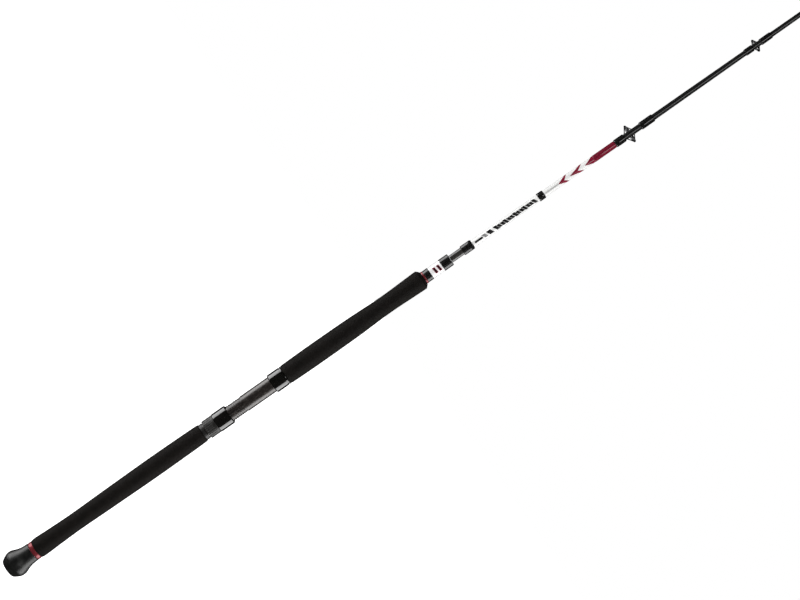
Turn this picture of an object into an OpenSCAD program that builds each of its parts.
// Two-piece boat fishing rod: a butt section with grips and a reel seat, and a tip section with line guides.
// +Z runs along the rod from butt to tip, and +Y is the side that carries the reel foot and the guides.
// The origin is the centre of the butt cap's end face. All sizes are in millimetres.

/* [Butt] */
// Length of the rubber butt cap
cap_length = 43; // [38:0.5:48]
// Largest diameter of the butt cap
cap_diameter = 38.9; // [36:0.1:44]
// Diameter of the cap's neck
cap_neck = 27.6; // [27:0.1:29]
// Diameter of the gimbal under the cap
gimbal_diameter = 24.6; // [23:0.1:25]
// Width of the gimbal's cross slots
slot_width = 6.4; // [5:0.1:7]
// Depth of the gimbal's cross slots
slot_depth = 12; // [10:0.5:14]
// Length of the red ring above the cap
trim_length = 6; // [4:0.5:8]

/* [Grips] */
// Length of the rear grip
rear_grip_length = 284.5; // [240:0.5:320]
// Length of the foregrip
foregrip_length = 236.5; // [200:0.5:280]

/* [Reel seat] */
// Diameter of the seat where the reel foot lies
seat_diameter = 24; // [23.8:0.1:24.2]
// Diameter of the seat's thread
thread_diameter = 23.3; // [23:0.1:23.4]
// Pitch of the seat's thread
thread_pitch = 3; // [2.5:0.5:4]
// Length of the locking nut
nut_length = 17; // [15:0.5:18]
// Diameter of the locking nut
nut_diameter = 27.6; // [27.4:0.1:28.2]
// Length of each hood
hood_length = 22.5; // [21.5:0.5:24]
// Diameter of each hood's collar
hood_diameter = 28.6; // [28:0.1:30]
// Length of seat that shows between the two hoods
exposed_length = 72.5; // [66:0.5:80]
// How far the sliding hood travels
hood_travel = 24; // [18:1:24]

/* [Ferrule] */
// Outside diameter of the butt section's tube
tube_diameter = 16.2; // [15.8:0.1:16.4]
// Outside diameter of the white ferrule sleeve
sleeve_diameter = 17.3; // [17.2:0.1:17.6]
// Distance from the foregrip to the mouth of the ferrule
ferrule_length = 46; // [40:1:60]
// Diameter of the spigot that plugs into the butt section
spigot_diameter = 11.2; // [10.8:0.1:11.4]
// Depth of the spigot inside the ferrule
spigot_depth = 88; // [80:1:100]
// Length of spigot that shows at the joint
spigot_gap = 19; // [10:1:24]

/* [Tip section] */
// Length of the whole rod
rod_length = 1981; // [1975:1:1990]
// Diameter of the blank at its tip
tip_diameter = 3; // [2.6:0.1:3.4]
// Growth of the blank's diameter per millimetre towards the butt
blank_taper = 0.0066; // [0.0062:0.0001:0.0070]

/* [Guides] */
// Outside diameter of the largest guide ring
guide_diameter = 28; // [26:0.5:30]
// Distance from the butt to the first guide
first_guide_z = 1067; // [1063:1:1071]
// Distance between the first two guides
first_spacing = 216; // [212:1:216]
// How much each spacing is shorter than the one before
spacing_step = 25; // [25:1:27]

/* [Hidden] */
$fn = 96;
glue_gap = 0.05;       // radial room for glue between pieces of one section
running_gap = 0.1;     // radial room between pieces that move
curve_steps = 5;       // short cones between two stations of a curved side

guide_count = 6;
GUIDE_PIECES = ["frame", "ring", "rear_wrap", "front_wrap"];

// Places along the rod, from the butt up
trim_z = cap_length + 0.3;
rear_grip_z = cap_length + trim_length + 0.5;
seat_z = rear_grip_z + rear_grip_length;
end_ring_length = 4.5;
nut_z = seat_z + 6;
hood_z = nut_z + nut_length;
hood_mouth_z = hood_z + hood_length;
fixed_mouth_z = hood_mouth_z + exposed_length;
fixed_end_z = fixed_mouth_z + hood_length;
foot_bed_z = hood_mouth_z + hood_travel + 0.5;
foregrip_z = fixed_end_z + 0.3;
foregrip_end_z = foregrip_z + foregrip_length;
check_z = foregrip_end_z + 0.2;
ferrule_z = foregrip_end_z + ferrule_length;
spigot_end_z = ferrule_z - spigot_depth;
blank_z = ferrule_z + spigot_gap;
blank_end_z = rod_length - 8;

// Butt cap, gimbal and tube
cap_floor = 5.6;
cap_bore_r = gimbal_diameter / 2 + running_gap;
gimbal_web = 5;
tube_r = tube_diameter / 2;
tube_bore_r = 6.5;
ferrule_bore_r = spigot_diameter / 2 + glue_gap;
ferrule_bore_length = spigot_depth + 14;

// Reel seat
seat_r = seat_diameter / 2;
seat_bore_r = 10.2;
thread_r = thread_diameter / 2;
thread_depth = 0.65;
thread_z = seat_z + end_ring_length + 0.5;
keyway_width = 2.6;
keyway_r = 10.7;
hood_bore_r = thread_r + running_gap;
pocket_depth = 13;
pocket_shift = 6;
liner_r = 10.8;
liner_wall = 0.7;
hood_shell = 1.1;
bulge_r = liner_r + liner_wall + hood_shell;
tail_length = 4.4;
tail_r = 12.6;
tail_lip = 0.5;
lip_length = 1.2;
flute_count = 24;
flute_r = 0.9;

// Tip-top: a tube on the end of the blank that holds the last ring
top_tube_length = 17;
top_tube_z = blank_end_z - top_tube_length + 1;
top_tube_r = 2.3;
top_ring_od = 9.8;
top_ring_width = 3;
top_ring_z = rod_length - top_ring_width / 2;
top_ring_y = 7.4;
top_hole_r = 2.9;
top_seat_r = 4.1;

// The blank's radius at a height z on its tapered stretch
function blank_r(z) = (tip_diameter + blank_taper * (blank_end_z - z)) / 2;

// Guide i, counted from 0 at the butt end
function guide_z(i) = first_guide_z + first_spacing * i - spacing_step * i * (i - 1) / 2;
function guide_od(i) = guide_diameter * (0.32 + 0.68 * pow(0.58, i));
function guide_scale(i) = guide_od(i) / guide_diameter;
function wire(i) = 0.35 + 0.65 * guide_scale(i);
function foot_y(i) = blank_r(guide_z(i) - 25) + glue_gap;
function ring_y(i) = foot_y(i) + 2.6 * wire(i) + guide_od(i) / 2;
function insert_r(i) = guide_od(i) / 2 - 1.5 * wire(i);
function hole_r(i) = 0.34 * guide_od(i);
function rear_reach(i) = 12 * guide_scale(i);
function front_reach(i) = 6 * guide_scale(i);
function rear_wrap_length(i) = 6 + 10 * guide_scale(i);
function front_wrap_gap(i) = i == 0 ? 15 : 6 * guide_scale(i);
function front_wrap_length(i) = 10 + 12 * guide_scale(i);

// A smooth side through [z, diameter] stations, returned as [radius, z] points
function slope_at(s, i) =
    i == 0 ? (s[1][1] - s[0][1]) / (s[1][0] - s[0][0])
    : i == len(s) - 1 ? (s[i][1] - s[i - 1][1]) / (s[i][0] - s[i - 1][0])
    : (s[i + 1][1] - s[i - 1][1]) / (s[i + 1][0] - s[i - 1][0]);
function between(s, i, t) =
    let (
        run = s[i + 1][0] - s[i][0],
        start = (2 * pow(t, 3) - 3 * pow(t, 2) + 1) * s[i][1],
        leave = (pow(t, 3) - 2 * pow(t, 2) + t) * run * slope_at(s, i),
        end = (3 * pow(t, 2) - 2 * pow(t, 3)) * s[i + 1][1],
        arrive = (pow(t, 3) - pow(t, 2)) * run * slope_at(s, i + 1)
    )
    [(start + leave + end + arrive) / 2, s[i][0] + run * t];
function smooth_side(s) = concat(
    [for (i = [0 : len(s) - 2]) for (k = [0 : curve_steps - 1]) between(s, i, k / curve_steps)],
    [[s[len(s) - 1][1] / 2, s[len(s) - 1][0]]]
);

// A straight round bar between two points
module bar(from, to, r) {
    run = to - from;
    flat = norm([run[0], run[1]]);
    translate(from)
        rotate([0, atan2(flat, run[2]), atan2(run[1], run[0])])
            cylinder(h = norm(run), r = r);
}

// A tube with chamfered outer edges
module band(z, length, inner_r, outer_r, chamfer = 0.3) {
    translate([0, 0, z])
        rotate_extrude()
            polygon([
                [inner_r, 0],
                [outer_r - chamfer, 0],
                [outer_r, chamfer],
                [outer_r, length - chamfer],
                [outer_r - chamfer, length],
                [inner_r, length]
            ]);
}

// The room that the tapered blank takes between two heights
module blank_room(z, length) {
    translate([0, 0, z])
        cylinder(h = length, r1 = blank_r(z) + glue_gap, r2 = blank_r(z + length) + glue_gap);
}

// A wrap of thread round the blank, tapered at both ends
module plain_wrap(z, length, thickness, taper = 1) {
    outer_r = blank_r(z + length / 2) + thickness;
    difference() {
        band(z, length, 1, outer_r, min(taper, thickness * 0.7));
        blank_room(z - 1, length + 2);
    }
}

// Soft foam tube on the butt section, with a curved side
module grip(side) {
    color([0.06, 0.06, 0.06])
        rotate_extrude()
            polygon(concat(
                [[tube_r + glue_gap, side[0][1]]],
                side,
                [[tube_r + glue_gap, side[len(side) - 1][1]]]
            ));
}

module butt_cap() {
    foot = smooth_side([[0, 24], [3, 29.4], [8, 35], [12, cap_diameter]]);
    flare = smooth_side([
        [17, cap_diameter],
        [22, 35.4],
        [27, 31.6],
        [33, 28.8],
        [cap_length, cap_neck]
    ]);
    color([0.08, 0.08, 0.08])
        rotate_extrude()
            polygon(concat(
                [[0, 0]],
                foot,
                flare,
                [[cap_bore_r, cap_length], [cap_bore_r, cap_floor], [0, cap_floor]]
            ));
}

module gimbal() {
    bottom_z = cap_floor + 0.4;
    top_z = rear_grip_z - 0.2;
    color([0.72, 0.73, 0.75])
        difference() {
            band(bottom_z, top_z - bottom_z, 0, gimbal_diameter / 2, 0.8);
            for (turn = [0, 90])
                rotate([0, 0, turn])
                    translate([-slot_width / 2, -gimbal_diameter, bottom_z - 1])
                        cube([slot_width, 2 * gimbal_diameter, slot_depth + 1]);
            translate([0, 0, bottom_z + slot_depth + gimbal_web])
                cylinder(h = cap_length, r = tube_r + glue_gap);
        }
}

module butt_trim_ring() {
    color([0.75, 0.04, 0.12])
        band(trim_z, trim_length, gimbal_diameter / 2 + glue_gap, cap_neck / 2 - 0.1, 0.6);
}

module rear_grip() {
    top_z = seat_z - 0.3;
    grip(smooth_side([
        [rear_grip_z, 27.6],
        [rear_grip_z + 5, 29],
        [rear_grip_z + 30, 27.4],
        [rear_grip_z + 66, 25.9],
        [rear_grip_z + 128, 27.3],
        [rear_grip_z + 200, 28.4],
        [top_z - 30, 27.6],
        [top_z - 3, 26.6],
        [top_z, 25.4]
    ]));
}

module butt_tube() {
    bottom_z = cap_floor + 0.4 + slot_depth + gimbal_web + 0.1;
    step_z = ferrule_z - ferrule_bore_length;
    color([0.1, 0.1, 0.1])
        rotate_extrude()
            polygon([
                [tube_bore_r, bottom_z],
                [tube_r, bottom_z],
                [tube_r, ferrule_z - 0.5],
                [tube_r - 0.5, ferrule_z],
                [ferrule_bore_r + 0.3, ferrule_z],
                [ferrule_bore_r, ferrule_z - 0.3],
                [ferrule_bore_r, step_z],
                [tube_bore_r, step_z - 12]
            ]);
}

module seat_end_ring() {
    color([0.05, 0.05, 0.05])
        band(seat_z, end_ring_length, thread_r + glue_gap, 12.2, 0.4);
}

module reel_seat() {
    ridge_count = floor((foot_bed_z - thread_z) / thread_pitch);
    ridges = [
        for (k = [0 : ridge_count - 1])
            for (corner = [[0, 0.1], [thread_depth, 0.35], [thread_depth, 0.6], [0, 0.85]])
                [thread_r - thread_depth + corner[0], thread_z + (k + corner[1]) * thread_pitch]
    ];
    color([0.3, 0.26, 0.24])
        difference() {
            rotate_extrude()
                polygon(concat(
                    [[seat_bore_r, seat_z], [thread_r, seat_z], [thread_r, thread_z - 0.2]],
                    [[thread_r - thread_depth, thread_z]],
                    ridges,
                    [[thread_r - thread_depth, foot_bed_z - 0.4], [seat_r, foot_bed_z]],
                    [[seat_r, fixed_end_z], [seat_bore_r, fixed_end_z]]
                ));
            translate([-keyway_width / 2, -seat_r - 1, hood_z - 4])
                cube([keyway_width, seat_r + 1 - keyway_r, foot_bed_z - hood_z + 3.6]);
        }
}

module lock_nut() {
    tail_z = hood_z - tail_length - 0.1;
    groove_top_z = tail_z + lip_length + 0.2;
    mouth_z = hood_z - 0.2;
    color([0.2, 0.2, 0.19])
        difference() {
            rotate_extrude()
                polygon([
                    [hood_bore_r, nut_z],
                    [nut_diameter / 2 - 0.8, nut_z],
                    [nut_diameter / 2, nut_z + 0.8],
                    [nut_diameter / 2, mouth_z - 0.5],
                    [nut_diameter / 2 - 0.5, mouth_z],
                    [tail_r + running_gap, mouth_z],
                    [tail_r + running_gap, groove_top_z],
                    [tail_r + tail_lip + running_gap, groove_top_z],
                    [tail_r + tail_lip + running_gap, tail_z],
                    [hood_bore_r, tail_z]
                ]);
            for (k = [0 : flute_count - 1])
                rotate([0, 0, k * 360 / flute_count])
                    translate([nut_diameter / 2 + flute_r - 0.35, 0, nut_z - 1])
                        cylinder(h = nut_length - 4, r = flute_r, $fn = 24);
        }
}

// One hood with its mouth at z = 0 and its closed end at z = hood_length
module hood_shell_body(bore_r) {
    difference() {
        union() {
            band(0, hood_length, 0, hood_diameter / 2, 1);
            translate([0, pocket_shift, 0])
                cylinder(h = pocket_depth + hood_shell, r = bulge_r);
            translate([0, pocket_shift, pocket_depth + hood_shell - 0.01])
                cylinder(h = 7, r1 = bulge_r, r2 = bulge_r - 5);
        }
        translate([0, 0, -1])
            cylinder(h = hood_length + 2, r = bore_r);
        translate([0, pocket_shift, -1])
            cylinder(h = pocket_depth + 1, r = liner_r + liner_wall);
    }
}

// The cushion inside a hood's pocket, in the same place as the hood above
module hood_liner_body() {
    difference() {
        translate([0, pocket_shift, 0])
            cylinder(h = pocket_depth - glue_gap, r = liner_r + liner_wall - glue_gap);
        translate([0, pocket_shift, -1])
            cylinder(h = pocket_depth + 2, r = liner_r);
        translate([0, 0, -1])
            cylinder(h = pocket_depth + 2, r = seat_r + 0.2);
    }
}

module sliding_hood() {
    key_length = 16;
    color([0.04, 0.04, 0.04]) {
        translate([0, 0, hood_mouth_z])
            mirror([0, 0, 1])
                hood_shell_body(hood_bore_r);
        rotate_extrude()
            polygon([
                [hood_bore_r, hood_z - tail_length],
                [tail_r + tail_lip, hood_z - tail_length],
                [tail_r + tail_lip, hood_z - tail_length + lip_length],
                [tail_r, hood_z - tail_length + lip_length],
                [tail_r, hood_z + 0.5],
                [hood_bore_r, hood_z + 0.5]
            ]);
        translate([-keyway_width / 2 + 0.2, -hood_bore_r - 0.3, hood_z + 2])
            cube([keyway_width - 0.4, hood_bore_r + 0.1 - keyway_r, key_length]);
    }
}

module sliding_hood_liner() {
    color([0.12, 0.12, 0.12])
        translate([0, 0, hood_mouth_z])
            mirror([0, 0, 1])
                hood_liner_body();
}

module fixed_hood() {
    groove_depth = 0.9;
    color([0.04, 0.04, 0.04])
        difference() {
            translate([0, 0, fixed_mouth_z])
                hood_shell_body(seat_r + glue_gap);
            difference() {
                translate([0, 0, fixed_end_z - 3])
                    cylinder(h = 1.6, r = hood_diameter);
                translate([0, 0, fixed_end_z - 4])
                    cylinder(h = 4, r = hood_diameter / 2 - groove_depth);
            }
        }
}

module fixed_hood_liner() {
    color([0.12, 0.12, 0.12])
        translate([0, 0, fixed_mouth_z])
            hood_liner_body();
}

// A foam bush that centres the reel seat on the butt tube
module seat_arbor(z, length) {
    color([0.75, 0.72, 0.65])
        band(z, length, tube_r + glue_gap, seat_bore_r - glue_gap, 0.2);
}

module foregrip() {
    grip(smooth_side([
        [foregrip_z, 27.8],
        [foregrip_z + 4, 29],
        [foregrip_z + 54, 30.1],
        [foregrip_z + 115, 29.3],
        [foregrip_z + 142, 27.7],
        [foregrip_z + 160, 26.5],
        [foregrip_z + 180, 26.2],
        [foregrip_z + 210, 27.9],
        [foregrip_end_z - 6, 29],
        [foregrip_end_z - 4.3, 28.5],
        [foregrip_end_z - 3.8, 27.6],
        [foregrip_end_z, 20]
    ]));
}

module winding_check() {
    color([0.75, 0.04, 0.12])
        band(check_z, 2.6, tube_r + glue_gap, 9.5, 0.6);
}

module ferrule_sleeve() {
    color([0.95, 0.95, 0.95])
        band(check_z + 2.8, ferrule_z - check_z - 3, tube_r + glue_gap, sleeve_diameter / 2, 0.25);
}

// Black thread wound on the ferrule sleeve
module sleeve_wrap(z, length) {
    color([0.03, 0.03, 0.03])
        band(z, length, sleeve_diameter / 2 + glue_gap, sleeve_diameter / 2 + 0.45, 0.25);
}

module badge() {
    badge_length = 11;
    badge_width = 11;
    badge_r = sleeve_diameter / 2 + 0.3;
    color([0.75, 0.04, 0.12])
        intersection() {
            band(check_z + 17, badge_length, sleeve_diameter / 2 + glue_gap, badge_r, 0.1);
            translate([-badge_width / 2, -badge_r - 1, check_z + 16])
                cube([badge_width, badge_r + 1, badge_length + 2]);
        }
}

module tip_blank() {
    spigot_r = spigot_diameter / 2;
    color([0.93, 0.93, 0.93])
        rotate_extrude()
            polygon([
                [3.5, spigot_end_z],
                [spigot_r - 0.6, spigot_end_z],
                [spigot_r, spigot_end_z + 0.6],
                [spigot_r, blank_z],
                [blank_r(blank_z), blank_z],
                [blank_r(blank_end_z), blank_end_z],
                [0.6, blank_end_z],
                [3.3, blank_z]
            ]);
}

module base_wrap() {
    color([0.03, 0.03, 0.03])
        plain_wrap(blank_z + 1, 17.5, 1.8);
}

module ring_wrap() {
    color([0.03, 0.03, 0.03])
        plain_wrap(first_guide_z - 160, 10, 1.1);
}

module red_wrap() {
    color([0.55, 0.02, 0.16])
        plain_wrap(first_guide_z - 65, 36.5, 0.4);
}

// The room taken by a guide's foot, from its joint at z = from to its end at z = to
module foot_plate(i, from, to, room = 0) {
    thick = 1.0 * wire(i);
    joint_w = 2.1 * wire(i) + room;
    end_w = 1.0 * wire(i) + room;
    way = to > from ? 1 : -1;
    translate([0, foot_y(i) + thick + room, guide_z(i)])
        rotate([90, 0, 0])
            linear_extrude(height = thick + 2 * room)
                polygon([
                    [-joint_w, from],
                    [joint_w, from],
                    [end_w, to + way * room],
                    [-end_w, to + way * room]
                ]);
}

module guide_frame(i) {
    w = wire(i);
    rear = rear_reach(i);
    front = front_reach(i);
    mean_r = guide_od(i) / 2 - 0.75 * w;
    joint_y = foot_y(i) + 0.8 * w;
    low = 35;
    rear_end = -rear - rear_wrap_length(i) + 1.5;
    front_end = front_wrap_gap(i) + front_wrap_length(i) - 1.5;
    color([0.08, 0.08, 0.09])
        difference() {
            union() {
                translate([0, ring_y(i), guide_z(i)])
                    band(-1.1 * w, 2.2 * w, insert_r(i) - 0.3, guide_od(i) / 2, 0.5 * w);
                for (side = [-1, 1]) {
                    bar(
                        [side * 1.3 * w, joint_y, guide_z(i) - rear + w],
                        [side * mean_r, ring_y(i), guide_z(i) - 0.2 * w],
                        0.7 * w
                    );
                    bar(
                        [side * 1.3 * w, joint_y, guide_z(i) + front - w],
                        [side * mean_r * cos(low), ring_y(i) - mean_r * sin(low), guide_z(i) + 0.2 * w],
                        0.7 * w
                    );
                }
                foot_plate(i, 3 * w - rear, rear_end);
                foot_plate(i, front - 3 * w, front_end);
            }
            translate([0, ring_y(i), guide_z(i) - 1.5 * w])
                cylinder(h = 3 * w, r = insert_r(i) + 0.03);
        }
}

// A ceramic ring with a straight bore and sloped lips
module insert(hole, outer, half_width) {
    slope = 0.35 * (outer - hole);
    rotate_extrude()
        polygon([
            [hole, -0.4 * half_width],
            [hole + slope, -half_width],
            [outer - slope, -half_width],
            [outer, -0.75 * half_width],
            [outer, 0.75 * half_width],
            [outer - slope, half_width],
            [hole + slope, half_width],
            [hole, 0.4 * half_width]
        ]);
}

module guide_ring(i) {
    color([0.35, 0.36, 0.38])
        translate([0, ring_y(i), guide_z(i)])
            insert(hole_r(i), insert_r(i), 1.4 * wire(i));
}

// A wrap that binds a guide's foot to the blank, a little off centre to cover the foot
module foot_wrap(i, from, length, foot_from, foot_to) {
    w = wire(i);
    off = 0.4 * w;
    outer_r = blank_r(guide_z(i) + from + length / 2) + 0.85 * w + off;
    color([0.03, 0.03, 0.03])
        difference() {
            translate([0, off, guide_z(i)])
                band(from, length, 0.5, outer_r, 0.55 * w);
            blank_room(guide_z(i) + from - 1, length + 2);
            foot_plate(i, foot_from, foot_to, glue_gap);
        }
}

module guide_rear_wrap(i) {
    end = -rear_reach(i) - rear_wrap_length(i);
    foot_wrap(i, end, rear_wrap_length(i), 3 * wire(i) - rear_reach(i), end + 1.5);
}

module guide_front_wrap(i) {
    end = front_wrap_gap(i) + front_wrap_length(i);
    foot_wrap(
        i,
        front_wrap_gap(i),
        front_wrap_length(i),
        front_reach(i) - 3 * wire(i),
        end - 1.5
    );
}

module guide_piece(i, piece) {
    if (piece == "frame")
        guide_frame(i);
    if (piece == "ring")
        guide_ring(i);
    if (piece == "rear_wrap")
        guide_rear_wrap(i);
    if (piece == "front_wrap")
        guide_front_wrap(i);
}

// A tube on the end of the blank, and three struts that hold the last ring
module tip_top_frame() {
    color([0.08, 0.08, 0.09])
        difference() {
            union() {
                translate([0, 0, top_tube_z])
                    rotate_extrude()
                        polygon([
                            [0, 0],
                            [top_tube_r - 0.3, 0],
                            [top_tube_r, 0.3],
                            [top_tube_r, top_tube_length - 1],
                            [top_tube_r - 0.8, top_tube_length + 0.4],
                            [0, top_tube_length + 0.4]
                        ]);
                translate([0, top_ring_y, 0])
                    band(rod_length - top_ring_width, top_ring_width, top_seat_r - 0.2, top_ring_od / 2, 0.5);
                for (side = [-1, 1])
                    bar(
                        [side * 1.2, 0.4, top_tube_z + 7],
                        [side * 4.4, top_ring_y, top_ring_z - 0.3],
                        0.6
                    );
                bar([0, 1.2, top_tube_z + 13], [0, top_ring_y - 4.4, top_ring_z - 0.3], 0.7);
            }
            blank_room(top_tube_z - 20, 20 + blank_end_z - top_tube_z);
            translate([0, top_ring_y, rod_length - 6])
                cylinder(h = 12, r = top_seat_r + 0.03);
        }
}

module tip_top_ring() {
    color([0.35, 0.36, 0.38])
        translate([0, top_ring_y, top_ring_z])
            insert(top_hole_r, top_seat_r, top_ring_width / 2);
}

module tip_top_wrap() {
    color([0.03, 0.03, 0.03])
        plain_wrap(top_tube_z - 14.2, 14, 0.6, 0.4);
}

butt_cap();
gimbal();
butt_trim_ring();
rear_grip();
butt_tube();
seat_end_ring();
reel_seat();
lock_nut();
sliding_hood();
sliding_hood_liner();
fixed_hood();
fixed_hood_liner();
seat_arbor(seat_z + 4, 28);  // seat_arbor_rear
seat_arbor(hood_mouth_z + 20, 28);  // seat_arbor_middle
seat_arbor(fixed_end_z - 32, 28);  // seat_arbor_front
foregrip();
winding_check();
sleeve_wrap(check_z + 2.9, 8.6);  // check_wrap
ferrule_sleeve();
badge();
sleeve_wrap(ferrule_z - 15.5, 15);  // ferrule_wrap
tip_blank();
base_wrap();
ring_wrap();
red_wrap();
for (i = [1 : guide_count])
    for (piece = GUIDE_PIECES)
        guide_piece(i - 1, piece);
tip_top_frame();
tip_top_ring();
tip_top_wrap();
